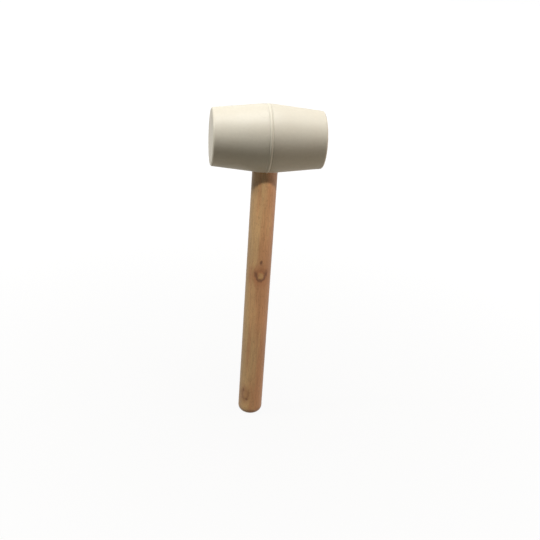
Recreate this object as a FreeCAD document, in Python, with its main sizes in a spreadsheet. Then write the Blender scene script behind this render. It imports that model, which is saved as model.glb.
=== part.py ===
"""Rubber mallet: a barrel-shaped moulded head on a turned wooden handle.

The handle's tenon sits in a blind eye moulded in the head's underside. A hardwood wedge stands in a
saw cut across the tenon's end, bears on the floor of the eye and spreads the tenon against the rubber.

Frame: millimetres, +Z up along the handle towards the head, +X along the head.
Origin: on the handle's axis, level with the lowest line of the head, where a rack carries the mallet.
"""

import FreeCAD, Part
import os

import Sketcher

# Driving dimensions, one row each: alias, value in millimetres, what it is.
SIZES = [
    ("head_length", 108.5, "head, from striking face to striking face"),
    ("head_diameter", 66.0, "head across its crown, at mid-length"),
    ("face_diameter", 55.5, "head at the striking faces, before their edges are rounded"),
    ("crown_radius", 100.0, "arc that joins the head's two cones, seen from the side"),
    ("face_edge_radius", 2.0, "rounding of each striking face's edge"),
    ("seam_width", 2.4, "width of the raised mould line round the head"),
    ("seam_height", 0.4, "height of the mould line over the crown"),
    ("seam_root", 0.6, "how far the mould line's section reaches under the crown"),
    ("top_rubber", 15.0, "rubber left over the blind eye, at the crown"),
    ("shoulder_foot", 0.5, "foot of the handle's sloped shoulder, over the head's lowest line"),
    ("shoulder_top", 3.5, "top of that shoulder, over the head's lowest line"),
    ("eye_clearance", 0.0, "radial gap between the tenon and the eye, a tight fit"),
    ("handle_reach", 267.0, "handle below the lowest line of the head"),
    ("grip_diameter", 25.0, "handle where the hand holds it"),
    ("butt_radius", 7.5, "rounding of the handle's lower end"),
    ("tenon_diameter", 24.0, "tenon at the handle's shoulder"),
    ("tenon_tip_diameter", 23.0, "tenon at its tip"),
    ("tenon_tip_gap", 1.0, "gap between the tenon's tip and the floor of the eye"),
    ("tenon_chamfer", 1.2, "chamfer round the tenon's tip"),
    ("kerf_depth", 30.0, "saw cut for the wedge, from the tenon's tip"),
    ("kerf_root", 1.4, "width of the saw cut at its root"),
    ("kerf_mouth", 4.0, "width of the spread saw cut at the tenon's tip"),
    ("wedge_root_gap", 3.0, "empty end of the saw cut under the wedge's thin edge"),
    ("wedge_width", 20.0, "wedge across the tenon"),
]

TINY = 1e-4
THROUGH = 2.0  # how far a cutting tool runs past the surface that it enters by


def make_sheet(doc):
    """The spreadsheet of driving dimensions; every other object reads it by alias."""
    sheet = doc.addObject("Spreadsheet::Sheet", "sizes")
    for row, (alias, value, meaning) in enumerate(SIZES, start=1):
        sheet.set(f"A{row}", alias)
        sheet.set(f"B{row}", str(value))
        sheet.set(f"C{row}", meaning)
        sheet.setAlias(f"B{row}", alias)
    doc.recompute()
    return sheet


def new_body(doc, label):
    body = doc.addObject("PartDesign::Body", label)
    body.Label = label
    return body


def sketch_on_xz(body, name):
    """An empty sketch on the body's own XZ plane: the sketch's x is the body's X and its y is Z."""
    plane = next(f for f in body.Origin.OriginFeatures if f.Role == "XZ_Plane")
    sketch = body.newObject("Sketcher::SketchObject", name)
    sketch.AttachmentSupport = [(plane, "")]
    sketch.MapMode = "FlatFace"
    return sketch


def vector(x, y):
    return FreeCAD.Vector(x, y, 0)


def add_outline(sketch, points):
    """A closed chain of lines through the points. Line number i runs from point i to the next one."""
    count = len(points)
    for i in range(count):
        sketch.addGeometry(Part.LineSegment(vector(*points[i]), vector(*points[(i + 1) % count])))
    for i in range(count):
        sketch.addConstraint(Sketcher.Constraint("Coincident", i, 2, (i + 1) % count, 1))


def place_point(sketch, line, end, x, y, name):
    """Fixes one end of a line by its distances from the sketch's origin, each an expression or 0."""
    point = sketch.getPoint(line, end)
    for kind, text, value in (("DistanceX", x, point.x), ("DistanceY", y, point.y)):
        if text == 0:
            axis = -2 if kind == "DistanceX" else -1
            sketch.addConstraint(Sketcher.Constraint("PointOnObject", line, end, axis))
            continue
        number = sketch.addConstraint(Sketcher.Constraint(kind, -1, 1, line, end, value))
        label = f"{name}_{'across' if kind == 'DistanceX' else 'along'}"
        sketch.renameConstraint(number, label)
        sketch.setExpression(f"Constraints.{label}", text)


def placed_outline(sketch, corners):
    """A closed outline whose corners are (name, x, y, x expression, y expression)."""
    add_outline(sketch, [(x, y) for _, x, y, _, _ in corners])
    for line, (name, _, _, x_text, y_text) in enumerate(corners):
        place_point(sketch, line, 1, x_text, y_text, name)


def revolve(body, kind, name, sketch, axis):
    """A full turn of the sketch about its own H_Axis or V_Axis; kind is Revolution or Groove."""
    feature = body.newObject(f"PartDesign::{kind}", name)
    feature.Profile = sketch
    feature.ReferenceAxis = (sketch, [axis])
    feature.Angle = 360.0
    body.Document.recompute()
    return feature


def cut_checked(body, feature, before):
    """A cut that points the wrong way removes nothing and shows no error."""
    if not body.Shape.Volume < before - TINY:
        raise RuntimeError(f"{feature.Name} removed no material")


def build_head(doc, cell):
    """The moulded head. The body's own origin is the head's centre."""
    head = new_body(doc, "head")
    head.setExpression("Placement.Base.z", "sizes.head_diameter / 2")
    add_barrel(head, cell)
    add_mould_line(head, cell)
    round_faces(head, cell)
    cut_eye(head, cell)
    return head


def add_barrel(head, cell):
    """Two cones joined by an arc that is tangent to both, turned about the head's axis."""
    half, crown, face = cell("head_length") / 2, cell("head_diameter") / 2, cell("face_diameter") / 2
    arc_radius = cell("crown_radius")
    slope = (crown - face) / half
    blend = arc_radius * slope
    sketch = sketch_on_xz(head, "barrel_profile")
    points = [(-half, 0), (half, 0), (half, face), (blend, crown - blend * slope / 2)]
    for start, end in zip(points[:-1], points[1:]):
        sketch.addGeometry(Part.LineSegment(vector(*start), vector(*end)))
    left = [(-x, y) for x, y in points[:1:-1]] + [points[0]]
    for start, end in zip(left[:-1], left[1:]):
        sketch.addGeometry(Part.LineSegment(vector(*start), vector(*end)))
    sketch.addGeometry(Part.ArcOfCircle(vector(*points[3]), vector(0, crown), vector(*left[0])))
    axis_line, right_face, right_cone, left_cone, left_face, arc = range(6)
    chain = [(axis_line, 2, right_face, 1), (right_face, 2, right_cone, 1)]
    chain += [(left_cone, 2, left_face, 1), (left_face, 2, axis_line, 1)]
    for joint in chain:
        sketch.addConstraint(Sketcher.Constraint("Coincident", *joint))
    right_end = 1 if sketch.getPoint(arc, 1).x > 0 else 2
    sketch.addConstraint(Sketcher.Constraint("Tangent", right_cone, 2, arc, right_end))
    sketch.addConstraint(Sketcher.Constraint("Tangent", left_cone, 1, arc, 3 - right_end))
    sketch.addConstraint(Sketcher.Constraint("PointOnObject", arc, 3, -2))
    place_point(sketch, axis_line, 1, "-sizes.head_length / 2", 0, "left_end")
    place_point(sketch, axis_line, 2, "sizes.head_length / 2", 0, "right_end")
    place_point(sketch, right_face, 2, "sizes.head_length / 2", "sizes.face_diameter / 2", "right_rim")
    place_point(sketch, left_face, 1, "-sizes.head_length / 2", "sizes.face_diameter / 2", "left_rim")
    number = sketch.addConstraint(Sketcher.Constraint("Radius", arc, arc_radius))
    sketch.renameConstraint(number, "crown")
    sketch.setExpression("Constraints.crown", "sizes.crown_radius")
    centre = sketch.addConstraint(Sketcher.Constraint("DistanceY", -1, 1, arc, 3, crown - arc_radius))
    sketch.renameConstraint(centre, "crown_centre")
    sketch.setExpression("Constraints.crown_centre", "sizes.head_diameter / 2 - sizes.crown_radius")
    revolve(head, "Revolution", "barrel", sketch, "H_Axis")


def add_mould_line(head, cell):
    """The raised line where the mould's halves meet: a low arc on a chord sunk under the crown."""
    crown, width = cell("head_diameter") / 2, cell("seam_width")
    root, rise = cell("seam_root"), cell("seam_height")
    sketch = sketch_on_xz(head, "mould_line_profile")
    left, right = (-width / 2, crown - root), (width / 2, crown - root)
    sketch.addGeometry(Part.LineSegment(vector(*left), vector(*right)))
    sketch.addGeometry(Part.ArcOfCircle(vector(*right), vector(0, crown + rise), vector(*left)))
    chord, bead = range(2)
    first = 1 if sketch.getPoint(bead, 1).x > 0 else 2
    sketch.addConstraint(Sketcher.Constraint("Coincident", chord, 2, bead, first))
    sketch.addConstraint(Sketcher.Constraint("Coincident", chord, 1, bead, 3 - first))
    level = "sizes.head_diameter / 2 - sizes.seam_root"
    place_point(sketch, chord, 1, "-sizes.seam_width / 2", level, "left")
    place_point(sketch, chord, 2, "sizes.seam_width / 2", level, "right")
    height = root + rise
    arc_radius = (width**2 / 4 + height**2) / (2 * height)
    number = sketch.addConstraint(Sketcher.Constraint("Radius", bead, arc_radius))
    sketch.renameConstraint(number, "bead")
    rise_text = "(sizes.seam_root + sizes.seam_height)"
    squares = f"(sizes.seam_width * sizes.seam_width / 4 + {rise_text} * {rise_text})"
    sketch.setExpression("Constraints.bead", f"{squares} / (2 * {rise_text})")
    revolve(head, "Revolution", "mould_line", sketch, "H_Axis")


def round_faces(head, cell):
    """Rounds the circular edge of both striking faces."""
    half = cell("head_length") / 2
    solid = head.Tip
    names = []
    for number, edge in enumerate(solid.Shape.Edges, start=1):
        box = edge.BoundBox
        if abs(box.XMin - box.XMax) < TINY and abs(abs(box.XMin) - half) < TINY:
            names.append(f"Edge{number}")
    fillet = head.newObject("PartDesign::Fillet", "face_edges")
    fillet.Base = (solid, names)
    fillet.setExpression("Radius", "sizes.face_edge_radius")
    head.Document.recompute()


EYE_FLOOR = "(sizes.head_diameter / 2 - sizes.top_rubber)"
SHOULDER_FOOT = "(sizes.shoulder_foot - sizes.head_diameter / 2)"
SHOULDER_TOP = "(sizes.shoulder_top - sizes.head_diameter / 2)"


def cut_eye(head, cell):
    """The blind eye: a mouth for the grip, a slope for its shoulder and a cone for the tenon."""
    crown, gap = cell("head_diameter") / 2, cell("eye_clearance")
    grip = cell("grip_diameter") / 2 + gap
    root, tip = cell("tenon_diameter") / 2 + gap, cell("tenon_tip_diameter") / 2 + gap
    floor = crown - cell("top_rubber")
    foot, top = cell("shoulder_foot") - crown, cell("shoulder_top") - crown
    under = -crown - THROUGH
    grip_text = "sizes.grip_diameter / 2 + sizes.eye_clearance"
    under_text = f"-sizes.head_diameter / 2 - {THROUGH}"
    corners = [
        ("axis_low", 0, under, 0, under_text),
        ("mouth_low", grip, under, grip_text, under_text),
        ("mouth_top", grip, foot, grip_text, SHOULDER_FOOT),
        ("cone_low", root, top, "sizes.tenon_diameter / 2 + sizes.eye_clearance", SHOULDER_TOP),
        ("cone_top", tip, floor, "sizes.tenon_tip_diameter / 2 + sizes.eye_clearance", EYE_FLOOR),
        ("axis_top", 0, floor, 0, EYE_FLOOR),
    ]
    sketch = sketch_on_xz(head, "eye_profile")
    placed_outline(sketch, corners)
    before = head.Shape.Volume
    eye = revolve(head, "Groove", "eye", sketch, "V_Axis")
    cut_checked(head, eye, before)


# The handle's and the wedge's own origin is the centre of the head, as the head's is.
TENON_TIP = f"({EYE_FLOOR} - sizes.tenon_tip_gap)"
BUTT = "(-sizes.head_diameter / 2 - sizes.handle_reach)"


def tip_radius(cell):
    """Radius of the tenon's cone at its tip, just short of the eye's floor."""
    root, end = cell("tenon_diameter") / 2, cell("tenon_tip_diameter") / 2
    length = cell("head_diameter") - cell("top_rubber") - cell("shoulder_top")
    return root + (end - root) * (length - cell("tenon_tip_gap")) / length


TIP_RADIUS = (
    "(sizes.tenon_diameter / 2 + (sizes.tenon_tip_diameter - sizes.tenon_diameter) / 2"
    " * (sizes.head_diameter - sizes.top_rubber - sizes.shoulder_top - sizes.tenon_tip_gap)"
    " / (sizes.head_diameter - sizes.top_rubber - sizes.shoulder_top))"
)


def build_handle(doc, cell):
    """The turned handle: a plain round grip, a sloped shoulder and a tapered tenon with a saw cut."""
    handle = new_body(doc, "handle")
    handle.setExpression("Placement.Base.z", "sizes.head_diameter / 2")
    crown = cell("head_diameter") / 2
    grip, root, tip = cell("grip_diameter") / 2, cell("tenon_diameter") / 2, tip_radius(cell)
    foot, top = cell("shoulder_foot") - crown, cell("shoulder_top") - crown
    end, butt = crown - cell("top_rubber") - cell("tenon_tip_gap"), -crown - cell("handle_reach")
    corners = [
        ("butt_axis", 0, butt, 0, BUTT),
        ("butt_edge", grip, butt, "sizes.grip_diameter / 2", BUTT),
        ("shoulder_out", grip, foot, "sizes.grip_diameter / 2", SHOULDER_FOOT),
        ("shoulder_in", root, top, "sizes.tenon_diameter / 2", SHOULDER_TOP),
        ("tip_edge", tip, end, TIP_RADIUS, TENON_TIP),
        ("tip_axis", 0, end, 0, TENON_TIP),
    ]
    sketch = sketch_on_xz(handle, "handle_profile")
    placed_outline(sketch, corners)
    revolve(handle, "Revolution", "turning", sketch, "V_Axis")
    dress_ring(handle, "Fillet", "butt_rounding", butt, "Radius", "sizes.butt_radius")
    dress_ring(handle, "Chamfer", "tip_chamfer", end, "Size", "sizes.tenon_chamfer")
    cut_kerf(handle, cell, end)
    return handle


def dress_ring(body, kind, name, level, size, text):
    """Rounds or chamfers the circular edge that lies flat at the given height in the body's frame."""
    base = body.Tip
    names = [
        f"Edge{number}"
        for number, edge in enumerate(base.Shape.Edges, start=1)
        if abs(edge.BoundBox.ZMin - level) < TINY and abs(edge.BoundBox.ZMax - level) < TINY
    ]
    feature = body.newObject(f"PartDesign::{kind}", name)
    feature.Base = (base, names)
    feature.setExpression(size, text)
    body.Document.recompute()


def cut_kerf(handle, cell, end):
    """The saw cut, spread by the wedge: narrow at its root, wide at the tenon's tip."""
    mouth, root, depth = cell("kerf_mouth") / 2, cell("kerf_root") / 2, cell("kerf_depth")
    low = f"{TENON_TIP} - sizes.kerf_depth"
    corners = [
        ("root_left", -root, end - depth, "-sizes.kerf_root / 2", low),
        ("root_right", root, end - depth, "sizes.kerf_root / 2", low),
        ("mouth_right", mouth, end, "sizes.kerf_mouth / 2", TENON_TIP),
        ("mouth_left", -mouth, end, "-sizes.kerf_mouth / 2", TENON_TIP),
    ]
    sketch = sketch_on_xz(handle, "kerf_profile")
    placed_outline(sketch, corners)
    before = handle.Shape.Volume
    kerf = handle.newObject("PartDesign::Pocket", "kerf")
    kerf.Profile = sketch
    kerf.Type = "ThroughAll"
    kerf.Midplane = True
    handle.Document.recompute()
    cut_checked(handle, kerf, before)


# The saw cut widens by this much for each millimetre towards the tenon's tip.
SPREAD = "((sizes.kerf_mouth - sizes.kerf_root) / sizes.kerf_depth)"


def build_wedge(doc, cell):
    """The hardwood wedge: it fills the saw cut's sides and its thick end bears on the eye's floor."""
    wedge = new_body(doc, "wedge")
    wedge.setExpression("Placement.Base.z", "sizes.head_diameter / 2")
    floor = cell("head_diameter") / 2 - cell("top_rubber")
    spread = (cell("kerf_mouth") - cell("kerf_root")) / cell("kerf_depth")
    thick = (cell("kerf_mouth") + spread * cell("tenon_tip_gap")) / 2
    thin = (cell("kerf_root") + spread * cell("wedge_root_gap")) / 2
    low = floor - cell("tenon_tip_gap") - cell("kerf_depth") + cell("wedge_root_gap")
    thick_text = f"(sizes.kerf_mouth + {SPREAD} * sizes.tenon_tip_gap) / 2"
    thin_text = f"(sizes.kerf_root + {SPREAD} * sizes.wedge_root_gap) / 2"
    low_text = f"{TENON_TIP} - sizes.kerf_depth + sizes.wedge_root_gap"
    corners = [
        ("thin_left", -thin, low, f"-{thin_text}", low_text),
        ("thin_right", thin, low, thin_text, low_text),
        ("thick_right", thick, floor, thick_text, EYE_FLOOR),
        ("thick_left", -thick, floor, f"-{thick_text}", EYE_FLOOR),
    ]
    sketch = sketch_on_xz(wedge, "wedge_profile")
    placed_outline(sketch, corners)
    pad = wedge.newObject("PartDesign::Pad", "wedge_pad")
    pad.Profile = sketch
    pad.Midplane = True
    pad.setExpression("Length", "sizes.wedge_width")
    doc.recompute()
    return wedge


def check(doc, parts):
    """Stops before anything is written if a feature failed or a shape isn't one sound solid."""
    for item in doc.Objects:
        if {"Invalid", "Error"} & set(item.State):
            raise RuntimeError(f"{item.Name} failed: {item.State}")
    for part in parts:
        shape = part.Shape
        if shape.isNull() or not shape.isValid() or len(shape.Solids) != 1:
            raise RuntimeError(f"{part.Label} isn't one valid solid")


def main():
    doc = FreeCAD.newDocument("rubber_mallet")
    sheet = make_sheet(doc)

    def cell(alias):
        value = sheet.get(alias)
        return float(getattr(value, "Value", value))

    parts = [build_head(doc, cell), build_handle(doc, cell), build_wedge(doc, cell)]
    doc.recompute()
    check(doc, parts)
    os.makedirs("parts", exist_ok=True)
    for part in parts:
        part.Shape.exportStep(f"parts/{part.Label}.step")
        print(f"{part.Label}: {part.Shape.Volume:.0f} mm3")


main()
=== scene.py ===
"""Looks for the rubber mallet: a moulded rubber head wedged on a turned hardwood handle."""

import bpy
import numpy as np
from bpy.props import FloatProperty, FloatVectorProperty, PointerProperty
from mathutils import Matrix, Vector


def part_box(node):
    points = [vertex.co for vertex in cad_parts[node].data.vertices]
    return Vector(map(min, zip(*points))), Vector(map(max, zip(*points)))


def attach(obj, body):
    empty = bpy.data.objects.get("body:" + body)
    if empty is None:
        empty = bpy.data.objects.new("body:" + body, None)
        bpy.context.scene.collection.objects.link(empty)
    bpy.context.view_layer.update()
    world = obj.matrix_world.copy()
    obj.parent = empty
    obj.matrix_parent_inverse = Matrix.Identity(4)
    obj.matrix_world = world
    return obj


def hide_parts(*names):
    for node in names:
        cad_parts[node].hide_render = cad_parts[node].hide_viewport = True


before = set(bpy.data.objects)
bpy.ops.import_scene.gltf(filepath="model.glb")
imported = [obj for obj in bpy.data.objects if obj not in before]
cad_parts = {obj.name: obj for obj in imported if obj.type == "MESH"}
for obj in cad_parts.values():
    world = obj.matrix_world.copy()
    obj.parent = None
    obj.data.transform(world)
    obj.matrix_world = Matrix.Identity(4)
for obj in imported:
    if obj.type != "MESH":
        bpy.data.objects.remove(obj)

bl_info = {
    "name": "Rubber mallet",
    "version": (1, 0, 0),
    "blender": (4, 5, 0),
    "location": "View3D > Sidebar > Mallet",
    "description": "Surfaces and finishes of a rubber mallet on its wooden handle",
    "category": "Object",
}

MM = 0.001
HEAD_LOW, HEAD_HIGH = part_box("head")
HANDLE_LOW, HANDLE_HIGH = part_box("handle")
EYE_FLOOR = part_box("wedge")[1].z
HALF_HEAD = (HEAD_HIGH.x - HEAD_LOW.x) / 2
HEAD_RADIUS = (HEAD_HIGH.y - HEAD_LOW.y) / 2
HEAD_AXIS = HEAD_HIGH.z - HEAD_RADIUS
GRIP = (HANDLE_HIGH.x - HANDLE_LOW.x) / 2

# Points round each turned surface, and rings along the handle's straight shaft.
HEAD_SIDES, HANDLE_SIDES, EYE_SIDES, SHAFT_RINGS = 448, 192, 128, 420
SHARP_FROM = np.radians(32)
# Spacing of a Wave texture's bands at a scale of 1.
WAVE = 0.314
# The trimmed groove's middle, from the mould line's edge, and half its width.
GROOVE_OFF, GROOVE_HALF = 0.5 * MM, 0.55 * MM
# The ring mark's place along the head, its angle about the head's axis, and half its width.
RING_X, RING_ANGLE, RING_HALF = -6.4 * MM, np.radians(123), 0.8 * MM
# The smallest ring at a flat end, before the point on the axis that closes it.
END_RING = 0.5 * MM


def linear(hex_colour):
    """An sRGB hex colour as linear red, green and blue."""
    text = hex_colour.lstrip("#")
    srgb = np.array([int(text[i : i + 2], 16) for i in (0, 2, 4)]) / 255
    return tuple(np.where(srgb <= 0.04045, srgb / 12.92, ((srgb + 0.055) / 1.055) ** 2.4))


def length(name, default_mm, description):
    """A length property, its default in millimetres."""
    return FloatProperty(
        name=name, description=description, default=default_mm * MM, unit="LENGTH", precision=5
    )


def colour(name, default, description):
    """A colour property, its default in sRGB hex."""
    return FloatVectorProperty(
        name=name, description=description, subtype="COLOR", default=linear(default)
    )


def angle(name, default_degrees, description):
    """An angle property, its default in degrees."""
    return FloatProperty(
        name=name, description=description, subtype="ANGLE", default=np.radians(default_degrees)
    )


class MalletHead(bpy.types.PropertyGroup):
    """Sizes and colours of the moulded head."""

    face_diameter: length("Striking face", 55.5, "Diameter of the cones where they meet the faces")
    edge_radius: length("Edge radius", 2.0, "Rounding of each striking face's edge")
    crown_radius: length("Crown radius", 100.0, "Arc that joins the two cones")
    line_width: length("Mould line width", 2.4, "Width of the raised line where the mould parts")
    line_height: length("Mould line height", 0.4, "Height of that line over the crown")
    groove_depth: length("Groove depth", 0.15, "Depth of the trimmed grooves beside the mould line")
    eye_mouth: length("Eye mouth", 25.0, "Diameter of the eye where the handle enters")
    eye_root: length("Eye root", 24.0, "Diameter of the eye over the handle's shoulder")
    eye_tip: length("Eye tip", 23.0, "Diameter of the eye at its floor")
    shoulder_foot: length("Shoulder foot", 0.5, "Height of the shoulder's foot over the origin")
    shoulder_top: length("Shoulder top", 3.5, "Height of the shoulder's top over the origin")
    ring_radius: length("Ring mark radius", 4.2, "Radius of the low moulded ring high on the front")
    ring_height: length("Ring mark height", 0.16, "Height of that ring")
    rubber: colour("Rubber", "#EBE5D3", "Main colour of the rubber")
    cloud: colour("Clouding", "#E4DBC7", "Warmer tint in faint clouds of filler")


class MalletHandle(bpy.types.PropertyGroup):
    """Sizes and colours of the turned handle."""

    butt_radius: length("Butt radius", 7.5, "Rounding of the lower end")
    tip_chamfer: length("Tip chamfer", 1.2, "Chamfer round the tenon's tip")
    tenon_root: length("Tenon root", 24.0, "Diameter of the tenon at the shoulder")
    tenon_tip: length("Tenon tip", 23.02, "Diameter of the tenon at its tip")
    kerf_mouth: length("Kerf mouth", 4.0, "Width of the spread saw cut at the tip")
    kerf_root: length("Kerf root", 1.4, "Width of the saw cut at its root")
    kerf_depth: length("Kerf depth", 30.0, "Depth of the saw cut")
    ring_spacing: length("Ring spacing", 2.4, "Distance between growth rings")
    sapwood: colour("Sapwood", "#C19B69", "Pale yellow wood of one side")
    heartwood: colour("Heartwood", "#B38054", "Redder wood of the other side")
    knot: colour("Knot line", "#56300F", "Dark bark line round a knot")
    stain: colour("Knot stain", "#8F5830", "Reddish wood round a knot")
    heart: colour("Knot heart", "#AB8352", "Pale heart of a knot")


class MalletStage(bpy.types.PropertyGroup):
    """Camera and light."""

    azimuth: angle("Azimuth", 9.44, "Camera's turn to the left of the front")
    elevation: angle("Elevation", 21.77, "Camera's height over the head")
    roll: angle("Roll", 4.0, "Camera's turn about its own axis")
    distance: length("Distance", 839.09, "Camera to the head's centre")
    aside: length("Aside", -2.832, "The head's centre to the right of the camera's axis")
    above: length("Above", 126.408, "The head's centre over the camera's axis")
    lens: FloatProperty(
        name="Lens", description="Focal length on a 36 mm sensor", default=58.277, unit="CAMERA"
    )
    ambient: FloatProperty(
        name="Ambient", description="Strength of the room's even light", default=0.04
    )


def add_node(tree, kind, inputs=None, **settings):
    """Adds a node with its settings. An input takes a value, a socket or a node's first used output."""
    node = tree.nodes.new(kind)
    for name, value in settings.items():
        setattr(node, name, value)
    for key, value in (inputs or {}).items():
        found = (s for s in node.inputs if s.enabled and s.name == key)
        socket = node.inputs[key] if isinstance(key, int) else next(found)
        if isinstance(value, bpy.types.Node):
            value = next(s for s in value.outputs if s.enabled)
        if isinstance(value, bpy.types.NodeSocket):
            tree.links.new(value, socket)
        else:
            socket.default_value = value
    return node


def smoothstep(low, high, value):
    """0 below low, 1 above high, and a smooth cubic between."""
    t = np.clip((value - low) / (high - low), 0, 1)
    return t * t * (3 - 2 * t)


def mesh_from(name, points, faces):
    """An object at the origin with these points and faces, shaded smooth."""
    mesh = bpy.data.meshes.new(name)
    mesh.from_pydata(points.tolist(), [], faces)
    mesh.validate()
    mesh.shade_smooth()
    piece = bpy.data.objects.new(name, mesh)
    bpy.context.scene.collection.objects.link(piece)
    return piece


def turned_surface(name, along, radius, axis):
    """A closed turned surface: ring i stands at along[i] on the axis with radius[i, j] at angle j.

    A point is (along, radius cos a, radius sin a) about X, or (radius cos a, radius sin a, along)
    about Z. A point on the axis closes each end.
    """
    rings, sides = radius.shape
    angle = np.linspace(0, 2 * np.pi, sides, endpoint=False)
    across, up = radius * np.cos(angle), radius * np.sin(angle)
    level = np.broadcast_to(along[:, None], radius.shape)
    order = (level, across, up) if axis == "X" else (across, up, level)
    points = np.stack(order, axis=-1).reshape(-1, 3)
    ends = np.zeros((2, 3))
    ends[:, "XYZ".index(axis)] = along[[0, -1]]
    points = np.vstack([points, ends])
    grid = np.arange(rings * sides).reshape(rings, sides)
    nxt = np.roll(grid, -1, axis=1)
    quads = np.stack([grid[:-1], nxt[:-1], nxt[1:], grid[1:]], axis=-1).reshape(-1, 4)
    first, last = rings * sides, rings * sides + 1
    low = np.stack([np.full(sides, first), nxt[0], grid[0]], axis=-1)
    high = np.stack([np.full(sides, last), grid[-1], nxt[-1]], axis=-1)
    return mesh_from(name, points, quads.tolist() + low.tolist() + high.tolist())


def cut_with(piece, cutter):
    """Takes the cutter's solid out of the piece, and removes the cutter."""
    boolean = piece.modifiers.new("cut", "BOOLEAN")
    boolean.operation = "DIFFERENCE"
    boolean.solver = "EXACT"
    boolean.object = cutter
    bpy.context.view_layer.update()
    evaluated = piece.evaluated_get(bpy.context.evaluated_depsgraph_get())
    cut = bpy.data.meshes.new_from_object(evaluated)
    piece.modifiers.clear()
    old, piece.data = piece.data, cut
    bpy.data.meshes.remove(old)
    bpy.data.meshes.remove(cutter.data)
    cut.set_sharp_from_angle(angle=SHARP_FROM)


def head_rings(head):
    """Where the rings of the head's section stand along it, and their radii.

    Half the section is the crown's arc, the line from the face's rim that touches that arc, the edge's
    arc that touches the line and the face, and the face. The other half mirrors it.
    """
    half = HALF_HEAD
    rim, arc, edge = head.face_diameter / 2, head.crown_radius, head.edge_radius
    centre = HEAD_RADIUS - head.line_height - arc
    touch = np.arctan2(rim - centre, half) + np.arccos(arc / np.hypot(half, rim - centre))
    fall = np.pi / 2 - touch
    turn = np.linspace(fall, np.pi / 2, 9)
    edge_x = half - edge + edge * np.sin(turn)
    edge_r = rim + edge * np.tan(fall) - edge / np.cos(fall) + edge * np.cos(turn)
    side = np.concatenate([np.arange(0.16, 3.3, 0.16) * MM, np.linspace(3.6 * MM, edge_x[0], 66)[:-1]])
    on_arc = centre + np.sqrt(arc**2 - np.minimum(side, arc * np.cos(touch)) ** 2)
    side_r = np.where(side < arc * np.cos(touch), on_arc, rim + (half - side) * np.tan(fall))
    face_r = np.linspace(edge_r[-1], 0.6 * MM, 12)[1:]
    x = np.concatenate([side, edge_x, np.full(face_r.shape, half)])
    r = np.concatenate([side_r, edge_r, face_r])
    return np.concatenate([-x[::-1], [0], x]), np.concatenate([r[::-1], [centre + arc], r])


def mould_line(x, head):
    """Height of the mould line over the crown: a parabola across its width, and a groove each side."""
    bead = np.clip(1 - (2 * x / head.line_width) ** 2, 0, None) * head.line_height
    beside = np.abs(np.abs(x) - head.line_width / 2 - GROOVE_OFF)
    groove = np.clip(1 - (beside / GROOVE_HALF) ** 2, 0, None) * head.groove_depth
    return bead - groove


def build_head(head):
    """The head's skin: its section turned about X, with the mould line and a low moulded ring.

    The ring is a raised circle round a point high on the front, at one distance along the skin. Two
    slow waves, 0.12 mm deep at most where they meet, stand for the rubber's shrinkage.
    """
    x, r = head_rings(head)
    angle = np.linspace(0, 2 * np.pi, HEAD_SIDES, endpoint=False)
    along = x[:, None]
    on_barrel = 1 - smoothstep(HALF_HEAD - 8 * MM, HALF_HEAD - head.edge_radius, np.abs(along))
    wave = np.sin(3 * angle + along / (17 * MM)) + np.sin(5 * angle - along / (11 * MM)) - 2
    from_ring = (angle - RING_ANGLE + np.pi) % (2 * np.pi) - np.pi
    reach = np.hypot(along - RING_X, from_ring * r[:, None])
    ring = np.clip(1 - ((reach - head.ring_radius) / RING_HALF) ** 2, 0, None) * head.ring_height
    relief = 0.03 * MM * wave + ring + mould_line(x, head)[:, None]
    piece = turned_surface("head_skin", x, r[:, None] + on_barrel * relief, "X")
    piece.data.transform(Matrix.Translation((0, 0, HEAD_AXIS)))
    cut_with(piece, eye_cutter(head))
    return piece


def eye_cutter(head):
    """The eye's inside turned about Z: the mouth, the shoulder's slope and the tenon's cone."""
    below = -6 * MM
    level = np.array([below, head.shoulder_foot, head.shoulder_top, EYE_FLOOR])
    width = np.array([head.eye_mouth, head.eye_mouth, head.eye_root, head.eye_tip]) / 2
    return turned_surface("eye", level, np.repeat(width[:, None], EYE_SIDES, axis=1), "Z")


# Angle from the front to the right, height, half width, half height and strength of each knot, and of
# the dark specks of bark beside them.
KNOTS = (
    (np.radians(4.0), -105.4 * MM, 4.6 * MM, 5.2 * MM, 1.0),
    (np.radians(-38.0), -242.6 * MM, 3.4 * MM, 5.4 * MM, 0.4),
)
SPECKS = (
    (np.radians(0.9), -90.6 * MM, 1.7 * MM, 3.4 * MM, 1.1),
    (np.radians(-47.0), -237.6 * MM, 1.4 * MM, 2.4 * MM, 0.7),
    (np.radians(-28.0), -247.6 * MM, 1.8 * MM, 2.2 * MM, 0.8),
)


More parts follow.
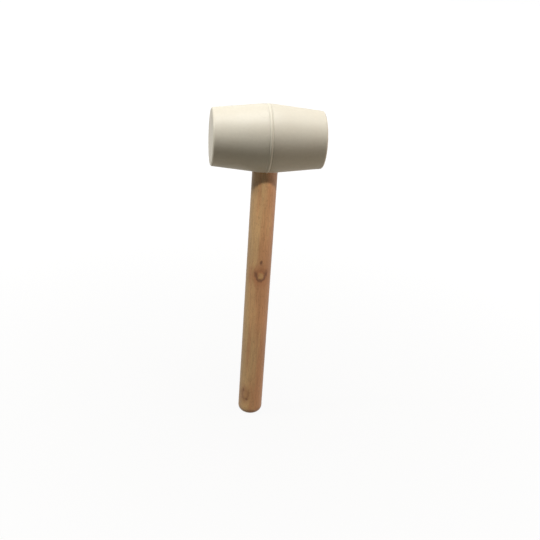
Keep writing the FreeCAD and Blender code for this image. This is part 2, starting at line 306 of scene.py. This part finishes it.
def build_handle(handle, head):
    """The handle's skin, turned about Z: butt arc, straight grip, shoulder slope, tenon cone, chamfer.

    A fine groove follows each knot's bark line: a bell curve of the distance from that ellipse.
    """
    low, high = HANDLE_LOW.z, HANDLE_HIGH.z
    turn = np.linspace(0, np.pi / 2, 13)
    butt_r = GRIP - handle.butt_radius + handle.butt_radius * np.sin(turn)
    butt_z = low + handle.butt_radius * (1 - np.cos(turn))
    inner = np.linspace(END_RING, butt_r[0], 5)[:-1]
    shaft_z = np.linspace(butt_z[-1], head.shoulder_foot, SHAFT_RINGS)[1:]
    tenon_z = np.array([head.shoulder_top, high - handle.tip_chamfer, high])
    tip_width = handle.tenon_tip - 2 * handle.tip_chamfer
    tenon_r = np.array([handle.tenon_root, handle.tenon_tip, tip_width]) / 2
    tip_r = np.array([tenon_r[-1] * 0.5, END_RING])
    z = np.concatenate([np.full(inner.shape, low), butt_z, shaft_z, tenon_z, [high, high]])
    r = np.concatenate([inner, butt_r, np.full(shaft_z.shape, GRIP), tenon_r, tip_r])
    angle = np.linspace(0, 2 * np.pi, HANDLE_SIDES, endpoint=False)
    radius = np.repeat(r[:, None], len(angle), axis=1)
    clear_of_head = -2 * MM
    on_shaft = ((z > butt_z[-1]) & (z < clear_of_head))[:, None]
    bark_width, bark_depth = 0.16, 0.12 * MM
    for turn_right, height, wide, tall, strength in KNOTS:
        skin = (angle[None, :] - (turn_right - np.pi / 2) + np.pi) % (2 * np.pi) - np.pi
        reach = np.hypot(skin * GRIP / wide, (z[:, None] - height) / tall)
        bark = np.exp(-(((reach - 1) / bark_width) ** 2)) * bark_depth * strength
        radius = radius - on_shaft * bark
    piece = turned_surface("handle_skin", z, radius, "Z")
    cut_with(piece, kerf_cutter(handle))
    return piece


def kerf_cutter(handle):
    """The saw cut as a solid: its flat sides open from the root's width to the mouth's at the tip."""
    high = HANDLE_HIGH.z
    low = high - handle.kerf_depth
    over = 1.0 * MM
    root = handle.kerf_root / 2
    mouth = handle.kerf_mouth / 2
    wide = mouth + (mouth - root) * over / handle.kerf_depth
    side = 20 * MM
    section = np.array([(-root, low), (root, low), (wide, high + over), (-wide, high + over)])
    near = np.column_stack([section[:, 0], np.full(len(section), -side), section[:, 1]])
    far = near + (0, 2 * side, 0)
    faces = [(0, 1, 2, 3), (7, 6, 5, 4), (0, 4, 5, 1), (1, 5, 6, 2), (2, 6, 7, 3), (3, 7, 4, 0)]
    return mesh_from("kerf", np.vstack([near, far]), faces)


def new_material(name):
    """A node material: itself, its tree, its Principled shader and the Object coordinates."""
    material = bpy.data.materials.new(name)
    material.use_nodes = True
    tree = material.node_tree
    tree.nodes.clear()
    shader = add_node(tree, "ShaderNodeBsdfPrincipled")
    add_node(tree, "ShaderNodeOutputMaterial", {"Surface": shader})
    return material, tree, shader, add_node(tree, "ShaderNodeTexCoord").outputs["Object"]


def rgba(value):
    """A colour with full opacity."""
    return (*value, 1.0)


def moulded_rubber(head):
    """White-filled natural rubber, compression moulded: satin, chalky, with a fine even mould grain."""
    material, tree, shader, place = new_material("moulded_rubber")
    clouds = {"Vector": place, "Scale": 1 / (24 * MM), "Detail": 3.0}
    clouds = add_node(tree, "ShaderNodeTexNoise", clouds)
    tone = {"Factor": clouds, "A": rgba(head.rubber), "B": rgba(head.cloud)}
    tone = add_node(tree, "ShaderNodeMix", tone, data_type="RGBA")
    # Filler specks of 2.6 mm, barely darker than the rubber.
    specks = {"Vector": place, "Scale": 1 / (2.6 * MM), "Detail": 2.0}
    specks = add_node(tree, "ShaderNodeTexNoise", specks)
    chalk = {"Value": specks, "From Min": 0.3, "From Max": 0.7, "To Min": 0.965, "To Max": 1.0}
    chalk = add_node(tree, "ShaderNodeMapRange", chalk)
    tone = {"Factor": 1.0, "A": tone, "B": chalk}
    tone = add_node(tree, "ShaderNodeMix", tone, data_type="RGBA", blend_type="MULTIPLY")
    # Painted shade darkens the trimmed grooves beside the mould line, less where the specks are pale.
    across = add_node(tree, "ShaderNodeSeparateXYZ", {"Vector": place}).outputs["X"]
    across = add_node(tree, "ShaderNodeMath", {0: across}, operation="ABSOLUTE")
    middle = head.line_width / 2 + GROOVE_OFF
    beside = add_node(tree, "ShaderNodeMath", {0: across, 1: middle}, operation="SUBTRACT")
    beside = add_node(tree, "ShaderNodeMath", {0: beside}, operation="ABSOLUTE")
    groove_shade = {"Value": beside, "From Min": 0.15 * MM, "From Max": 0.75 * MM, "To Min": 0.8, "To Max": 1.0}
    groove_shade = add_node(tree, "ShaderNodeMapRange", groove_shade, interpolation_type="SMOOTHSTEP")
    tone = {"Factor": specks, "A": tone, "B": groove_shade}
    tone = add_node(tree, "ShaderNodeMix", tone, data_type="RGBA", blend_type="MULTIPLY")
    tree.links.new(tone.outputs[2], shader.inputs["Base Color"])
    # Mould grain of 0.9 mm, drawn coarser than the real 0.3 mm so that it shows.
    grain = {"Vector": place, "Scale": 1 / (0.9 * MM), "Detail": 2.0}
    grain = add_node(tree, "ShaderNodeTexNoise", grain)
    bump = add_node(tree, "ShaderNodeBump", {"Height": grain, "Strength": 0.25, "Distance": 0.05 * MM})
    tree.links.new(bump.outputs["Normal"], shader.inputs["Normal"])
    satin = add_node(tree, "ShaderNodeMapRange", {"Value": clouds, "To Min": 0.46, "To Max": 0.58})
    tree.links.new(satin.outputs[0], shader.inputs["Roughness"])
    shader.inputs["IOR"].default_value = 1.52
    return material


def around(tree, place, mark):
    """A place seen from a mark on the skin: x across over its half width, z up over its half height.

    y is 0 on the skin at the mark and grows to the far side, which keeps the mark on its own side.
    """
    side, height, wide, tall, _ = mark
    turned = {"Vector": place, "Angle": -side}
    turned = add_node(tree, "ShaderNodeVectorRotate", turned, rotation_type="Z_AXIS")
    shrunk = {"Vector": turned, "Scale": (1 / wide, 0.5 / wide, 1 / tall)}
    shrunk["Location"] = (0, 0.5 * GRIP / wide, -height / tall)
    shrunk = add_node(tree, "ShaderNodeMapping", shrunk)
    # Uneven by about a fifth of the mark, in waves of 2.5 mm.
    uneven = {"Vector": place, "Scale": 1 / (2.5 * MM), "Detail": 3.0}
    uneven = add_node(tree, "ShaderNodeTexNoise", uneven)
    uneven = {0: uneven.outputs["Color"], 1: (0.5, 0.5, 0.5)}
    uneven = add_node(tree, "ShaderNodeVectorMath", uneven, operation="SUBTRACT")
    uneven = {0: uneven, 1: (0.9, 0.9, 0.9), 2: shrunk}
    return add_node(tree, "ShaderNodeVectorMath", uneven, operation="MULTIPLY_ADD")


def bark_line(tree, local):
    """A knot's dark line, 0 to 1: an ellipse below its middle, whose sides run on upwards and fade."""
    axes = add_node(tree, "ShaderNodeSeparateXYZ", {"Vector": local}).outputs
    below = add_node(tree, "ShaderNodeMath", {0: axes["Z"], 1: 0.0}, operation="MINIMUM")
    over = add_node(tree, "ShaderNodeMath", {0: axes["Z"], 1: 0.0}, operation="MAXIMUM")
    up = add_node(tree, "ShaderNodeMath", {0: over, 1: 0.3, 2: below}, operation="MULTIPLY_ADD")
    flare = add_node(tree, "ShaderNodeMath", {0: axes["Z"], 1: 0.22, 2: 1.0}, operation="MULTIPLY_ADD")
    across = add_node(tree, "ShaderNodeMath", {0: axes["X"], 1: flare}, operation="DIVIDE")
    opened = add_node(tree, "ShaderNodeCombineXYZ", {"X": across, "Y": axes["Y"], "Z": up})
    reach = add_node(tree, "ShaderNodeVectorMath", {0: opened}, operation="LENGTH")
    off_line = add_node(tree, "ShaderNodeMath", {0: reach, 1: 1.0}, operation="SUBTRACT")
    off_line = add_node(tree, "ShaderNodeMath", {0: off_line}, operation="ABSOLUTE")
    line = {"Value": off_line, "From Min": 0.0, "From Max": 0.58, "To Min": 1.0, "To Max": 0.0}
    line = add_node(tree, "ShaderNodeMapRange", line, interpolation_type="SMOOTHSTEP")
    fade = {"Value": axes["Z"], "From Min": 0.3, "From Max": 1.7, "To Min": 1.0, "To Max": 0.0}
    fade = add_node(tree, "ShaderNodeMapRange", fade, interpolation_type="SMOOTHSTEP")
    return add_node(tree, "ShaderNodeMath", {0: line, 1: fade}, operation="MULTIPLY")


def turned_hardwood(handle):
    """Beech-like hardwood, turned and thinly lacquered: fine lengthwise grain, flecks, two knots."""
    material, tree, shader, place = new_material("turned_hardwood")
    bent, dark, pale, stain = place, 0.0, 0.0, 0.0
    for knot in KNOTS:
        local = around(tree, place, knot)
        reach = add_node(tree, "ShaderNodeVectorMath", {0: local}, operation="LENGTH")
        # Grain parts round the knot: it is read nearer the knot's middle line, most of all close to it.
        pull = {"Value": reach, "From Min": 0.4, "From Max": 3.4, "To Min": 0.85, "To Max": 0.0}
        pull = add_node(tree, "ShaderNodeMapRange", pull, interpolation_type="SMOOTHSTEP")
        line = (np.cos(knot[0]), np.sin(knot[0]), 0)
        aside = add_node(tree, "ShaderNodeVectorMath", {0: place, 1: line}, operation="DOT_PRODUCT")
        aside = add_node(tree, "ShaderNodeMath", {0: aside, 1: pull}, operation="MULTIPLY")
        shift = add_node(tree, "ShaderNodeVectorMath", {0: line, "Scale": aside}, operation="SCALE")
        bent = add_node(tree, "ShaderNodeVectorMath", {0: bent, 1: shift}, operation="SUBTRACT")
        bark = {0: bark_line(tree, local), 1: knot[4]}
        bark = add_node(tree, "ShaderNodeMath", bark, operation="MULTIPLY")
        dark = add_node(tree, "ShaderNodeMath", {0: dark, 1: bark}, operation="MAXIMUM")
        heart = {"Value": reach, "From Min": 0.25, "From Max": 0.95, "To Min": knot[4], "To Max": 0.0}
        heart = add_node(tree, "ShaderNodeMapRange", heart, interpolation_type="SMOOTHSTEP")
        pale = add_node(tree, "ShaderNodeMath", {0: pale, 1: heart}, operation="MAXIMUM")
        halo = {"Value": reach, "From Min": 0.8, "From Max": 3.0, "To Min": 0.62, "To Max": 0.0}
        halo = add_node(tree, "ShaderNodeMapRange", halo, interpolation_type="SMOOTHSTEP")
        stain = add_node(tree, "ShaderNodeMath", {0: stain, 1: halo}, operation="MAXIMUM")
    for speck in SPECKS:
        local = around(tree, place, speck)
        reach = add_node(tree, "ShaderNodeVectorMath", {0: local}, operation="LENGTH")
        spot = {"Value": reach, "From Min": 0.35, "From Max": 1.1, "To Min": speck[4], "To Max": 0.0}
        spot = add_node(tree, "ShaderNodeMapRange", spot, interpolation_type="SMOOTHSTEP")
        dark = add_node(tree, "ShaderNodeMath", {0: dark, 1: spot}, operation="MAXIMUM")

    # Sapwood on one side and redder heartwood on the other, in streaks 9 mm wide.
    streaks = add_node(tree, "ShaderNodeMapping", {"Vector": bent, "Scale": (1, 1, 0.1)})
    broad = {"Vector": streaks, "Scale": 1 / (9 * MM), "Detail": 2.0}
    broad = add_node(tree, "ShaderNodeTexNoise", broad)
    aside = add_node(tree, "ShaderNodeSeparateXYZ", {"Vector": bent}).outputs["X"]
    aside = {0: aside, 1: 0.3 / GRIP, 2: broad}
    aside = add_node(tree, "ShaderNodeMath", aside, operation="MULTIPLY_ADD")
    redder = {"Value": aside, "From Min": 0.20, "From Max": 0.60, "To Min": 0.0, "To Max": 1.0}
    redder = add_node(tree, "ShaderNodeMapRange", redder, interpolation_type="SMOOTHSTEP")
    tone = {"Factor": redder, "A": rgba(handle.sapwood), "B": rgba(handle.heartwood)}
    tone = add_node(tree, "ShaderNodeMix", tone, data_type="RGBA")
    # Growth rings, which a turned rod shows as soft lengthwise bands.
    pith = {"Vector": streaks, "Location": (9 * MM, 31 * MM, 0)}
    bands = {"Vector": add_node(tree, "ShaderNodeMapping", pith), "Scale": WAVE / handle.ring_spacing}
    bands |= {"Distortion": 3.0, "Detail": 2.0}
    bands = add_node(tree, "ShaderNodeTexWave", bands, wave_type="RINGS", rings_direction="Z")
    bands = bands.outputs["Fac"]
    layers = [(bands, 0.0, 1.0, 0.96, 1.02)]
    # Width in mm, share of that along the handle, then the pattern's range and the shades at its ends:
    # fibres drawn coarser than the real 0.1 mm so that they show, ray flecks, and blotches of lacquer.
    for wide, shrink, low, high, first, last in (
        (0.8, 0.09, 0.35, 0.65, 0.88, 1.05),
        (1.0, 0.45, 0.55, 0.70, 1.02, 0.80),
        (16, 0.45, 0.3, 0.7, 0.91, 1.05),
    ):
        drawn = add_node(tree, "ShaderNodeMapping", {"Vector": bent, "Scale": (1, 1, shrink)})
        drawn = {"Vector": drawn, "Scale": 1 / (wide * MM), "Detail": 2.0}
        drawn = add_node(tree, "ShaderNodeTexNoise", drawn)
        layers.append((drawn, low, high, first, last))
    # Lighter and darker bands along the handle, 110 mm apart, with the first dark one 88 mm down.
    stretch = {"Vector": place, "Scale": WAVE / (110 * MM), "Distortion": 0.6, "Detail": 1.0}
    stretch["Phase Offset"] = 2 * np.pi * 88 / 110
    stretch = add_node(tree, "ShaderNodeTexWave", stretch, bands_direction="Z").outputs["Fac"]
    layers.append((stretch, 0.0, 1.0, 0.90, 1.03))
    for pattern, low, high, first, last in layers:
        shade = {"Value": pattern, "From Min": low, "From Max": high, "To Min": first, "To Max": last}
        shade = add_node(tree, "ShaderNodeMapRange", shade)
        tone = {"Factor": 1.0, "A": tone, "B": shade}
        tone = add_node(tree, "ShaderNodeMix", tone, data_type="RGBA", blend_type="MULTIPLY")
    dark = add_node(tree, "ShaderNodeMath", {0: dark, 1: 0.78}, operation="MULTIPLY")
    marks = ((stain, handle.stain), (pale, handle.heart), (dark, handle.knot))
    for share, paint in marks:
        tone = {"Factor": share, "A": tone, "B": rgba(paint)}
        tone = add_node(tree, "ShaderNodeMix", tone, data_type="RGBA")
    tree.links.new(tone.outputs[2], shader.inputs["Base Color"])
    fibres = layers[1][0]
    bump = add_node(tree, "ShaderNodeBump", {"Height": fibres, "Strength": 0.35, "Distance": 0.06 * MM})
    tree.links.new(bump.outputs["Normal"], shader.inputs["Normal"])
    lacquer = {"Value": fibres, "From Min": 0.3, "From Max": 0.7, "To Min": 0.58, "To Max": 0.44}
    tree.links.new(add_node(tree, "ShaderNodeMapRange", lacquer).outputs[0], shader.inputs["Roughness"])
    shader.inputs["Coat Weight"].default_value = 0.12
    shader.inputs["Coat Roughness"].default_value = 0.35
    return material


def sawn_hardwood():
    """Bare sawn hardwood of the wedge: straight grain, and saw marks across it."""
    material, tree, shader, place = new_material("sawn_hardwood")
    drawn = add_node(tree, "ShaderNodeMapping", {"Vector": place, "Scale": (1, 1, 0.08)})
    grain = {"Vector": drawn, "Scale": 1 / (0.8 * MM), "Detail": 2.0}
    grain = add_node(tree, "ShaderNodeTexNoise", grain)
    tone = {"Factor": grain, "A": rgba(linear("#A87C50")), "B": rgba(linear("#7E5833"))}
    tone = add_node(tree, "ShaderNodeMix", tone, data_type="RGBA")
    tree.links.new(tone.outputs[2], shader.inputs["Base Color"])
    # Saw marks 1.1 mm apart.
    saw = {"Vector": place, "Scale": WAVE / (1.1 * MM), "Distortion": 0.6}
    saw = add_node(tree, "ShaderNodeTexWave", saw, bands_direction="Z").outputs["Fac"]
    bump = add_node(tree, "ShaderNodeBump", {"Height": saw, "Strength": 0.4, "Distance": 0.1 * MM})
    tree.links.new(bump.outputs["Normal"], shader.inputs["Normal"])
    shader.inputs["Roughness"].default_value = 0.75
    return material


def dress(piece, material, node):
    """Gives a piece its material and lets it stand for its solid."""
    piece.data.materials.clear()
    piece.data.materials.append(material)
    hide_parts(node)
    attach(piece, "root")


class MALLET_OT_head(bpy.types.Operator):
    """Build the moulded head with its eye, mould line and low ring"""

    bl_idname = "mallet.head"
    bl_label = "Moulded head"

    def execute(self, context):
        head = context.scene.mallet_head
        dress(build_head(head), moulded_rubber(head), "head")
        return {"FINISHED"}


class MALLET_OT_handle(bpy.types.Operator):
    """Build the turned handle with its tenon and saw cut"""

    bl_idname = "mallet.handle"
    bl_label = "Turned handle"

    def execute(self, context):
        handle = context.scene.mallet_handle
        piece = build_handle(handle, context.scene.mallet_head)
        dress(piece, turned_hardwood(handle), "handle")
        return {"FINISHED"}


class MALLET_OT_wedge(bpy.types.Operator):
    """Finish the wedge that spreads the tenon"""

    bl_idname = "mallet.wedge"
    bl_label = "Wedge"

    def execute(self, context):
        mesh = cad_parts["wedge"].data
        mesh.materials.clear()
        mesh.materials.append(sawn_hardwood())
        return {"FINISHED"}


def add_lamp(name, place, target, power, wide, tint="#FFFFFF"):
    """A disc lamp that looks from its place at the target, both in metres, with its power in watts."""
    lamp = bpy.data.lights.new(name, "AREA")
    lamp.shape = "DISK"
    lamp.size = wide
    lamp.energy = power
    lamp.color = linear(tint)
    holder = bpy.data.objects.new(name, lamp)
    bpy.context.scene.collection.objects.link(holder)
    aim = Vector(target) - Vector(place)
    turn = aim.to_track_quat("-Z", "Y").to_matrix().to_4x4()
    holder.matrix_world = Matrix.Translation(place) @ turn
    return holder


def seen_directly(tree):
    """1 for camera, glossy and transmission rays, 0 for the rays that carry light."""
    rays = add_node(tree, "ShaderNodeLightPath").outputs
    seen = {0: rays["Is Camera Ray"], 1: rays["Is Glossy Ray"]}
    seen = add_node(tree, "ShaderNodeMath", seen, operation="MAXIMUM")
    seen = {0: seen, 1: rays["Is Transmission Ray"]}
    return add_node(tree, "ShaderNodeMath", seen, operation="MAXIMUM")


def add_floor(level):
    """A pale floor that looks white when seen and keeps a faint shadow round the butt."""
    half_side = 6.0
    corners = half_side * np.array([(-1, -1, 0), (1, -1, 0), (1, 1, 0), (-1, 1, 0)]) + (0, 0, level)
    floor = mesh_from("floor", corners, [(0, 1, 2, 3)])
    material = bpy.data.materials.new("pale_floor")
    material.use_nodes = True
    tree = material.node_tree
    tree.nodes.clear()
    place = add_node(tree, "ShaderNodeTexCoord").outputs["Object"]
    away = add_node(tree, "ShaderNodeVectorMath", {0: place}, operation="LENGTH")
    glow = {"Value": away, "From Min": 0.20, "From Max": 1.00, "To Min": 0.88, "To Max": 1.0}
    glow = {0: add_node(tree, "ShaderNodeMapRange", glow), 1: seen_directly(tree)}
    glow = add_node(tree, "ShaderNodeMath", glow, operation="MULTIPLY")
    paint = add_node(tree, "ShaderNodeBsdfDiffuse", {"Color": rgba(linear("#868073"))})
    white = add_node(tree, "ShaderNodeEmission", {"Color": (1, 1, 1, 1), "Strength": 1.06})
    mix = add_node(tree, "ShaderNodeMixShader", {0: glow, 1: paint, 2: white})
    add_node(tree, "ShaderNodeOutputMaterial", {"Surface": mix})
    floor.data.materials.append(material)


def light_world(level):
    """An even dim warm room that is seen as white."""
    world = bpy.data.worlds.new("studio")
    bpy.context.scene.world = world
    world.use_nodes = True
    tree = world.node_tree
    tree.nodes.clear()
    seen = seen_directly(tree)
    tone = {"Factor": seen, "A": rgba(linear("#FFF1DC")), "B": (1, 1, 1, 1)}
    tone = add_node(tree, "ShaderNodeMix", tone, data_type="RGBA")
    strength = add_node(tree, "ShaderNodeMapRange", {"Value": seen, "To Min": level, "To Max": 1.0})
    room = add_node(tree, "ShaderNodeBackground", {"Color": tone, "Strength": strength})
    add_node(tree, "ShaderNodeOutputWorld", {"Surface": room})


def place_camera(stage):
    """The camera stands off from the head's centre by azimuth and elevation, rolled about its axis.

    It is then slid in its own plane until the head's centre lies in its place in the frame.
    """
    az, el, roll = stage.azimuth, stage.elevation, stage.roll
    back = Vector((-np.sin(az) * np.cos(el), -np.cos(az) * np.cos(el), np.sin(el)))
    level = Vector((0, 0, 1)).cross(back).normalized()
    over = back.cross(level)
    right = level * np.cos(roll) + over * np.sin(roll)
    up = over * np.cos(roll) - level * np.sin(roll)
    camera = bpy.data.cameras.new("camera")
    camera.lens = stage.lens
    camera.sensor_width = 36.0
    centre = Vector((0, 0, HEAD_AXIS))
    place = centre + back * stage.distance - right * stage.aside - up * stage.above
    holder = bpy.data.objects.new("camera", camera)
    bpy.context.scene.collection.objects.link(holder)
    turn = Matrix((right, up, back)).transposed().to_4x4()
    holder.matrix_world = Matrix.Translation(place) @ turn
    bpy.context.scene.camera = holder


class MALLET_OT_stage(bpy.types.Operator):
    """Set the floor, the lamps and the camera"""

    bl_idname = "mallet.stage"
    bl_label = "Stage"

    def execute(self, context):
        stage = context.scene.mallet_stage
        # The floor stands just clear of the butt.
        add_floor(HANDLE_LOW.z - 0.2 * MM)
        light_world(stage.ambient)
        add_lamp("overhead", (0, 0.07, 1.30), (0, 0, 0.03), 5.8, 0.5)
        add_lamp("overhead_front", (0, -0.28, 1.28), (0, 0, 0.03), 9.1, 0.5)
        add_lamp("left_side", (-1.0, -0.10, 0.62), (0, 0, -0.05), 5.7, 0.3)
        add_lamp("right_side", (1.1, -0.12, 0.06), (0, 0, -0.05), 3.7, 0.3, "#FFEBDC")
        # This one lights the handle alone, and the head throws its arched shadow on it.
        handle_lamp = add_lamp("handle_lamp", (0.04, -0.371, 0.533), (0, 0, -0.12), 4.6, 0.04)
        lit = bpy.data.collections.new("lit_by_handle_lamp")
        lit.objects.link(bpy.data.objects["handle_skin"])
        handle_lamp.light_linking.receiver_collection = lit
        place_camera(stage)
        context.scene.view_settings.view_transform = "Standard"
        return {"FINISHED"}


class MALLET_PT_panel(bpy.types.Panel):
    """Lists the mallet's pieces and their settings"""

    bl_idname = "MALLET_PT_panel"
    bl_label = "Rubber mallet"
    bl_space_type = "VIEW_3D"
    bl_region_type = "UI"
    bl_category = "Mallet"

    def draw(self, context):
        for name, group in GROUPS.items():
            box = self.layout.box()
            for setting in group.__annotations__:
                box.prop(getattr(context.scene, name), setting)
        for operator in OPERATORS:
            self.layout.operator(operator.bl_idname)


GROUPS = {"mallet_head": MalletHead, "mallet_handle": MalletHandle, "mallet_stage": MalletStage}
OPERATORS = (MALLET_OT_head, MALLET_OT_handle, MALLET_OT_wedge, MALLET_OT_stage)
CLASSES = (*GROUPS.values(), *OPERATORS, MALLET_PT_panel)


def register():
    for cls in CLASSES:
        bpy.utils.register_class(cls)
    for name, group in GROUPS.items():
        setattr(bpy.types.Scene, name, PointerProperty(type=group))


def unregister():
    for name in GROUPS:
        delattr(bpy.types.Scene, name)
    for cls in reversed(CLASSES):
        bpy.utils.unregister_class(cls)


def main():
    register()
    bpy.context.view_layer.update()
    bpy.ops.mallet.head()
    bpy.ops.mallet.handle()
    bpy.ops.mallet.wedge()
    bpy.ops.mallet.stage()


if __name__ == "__main__":
    main()
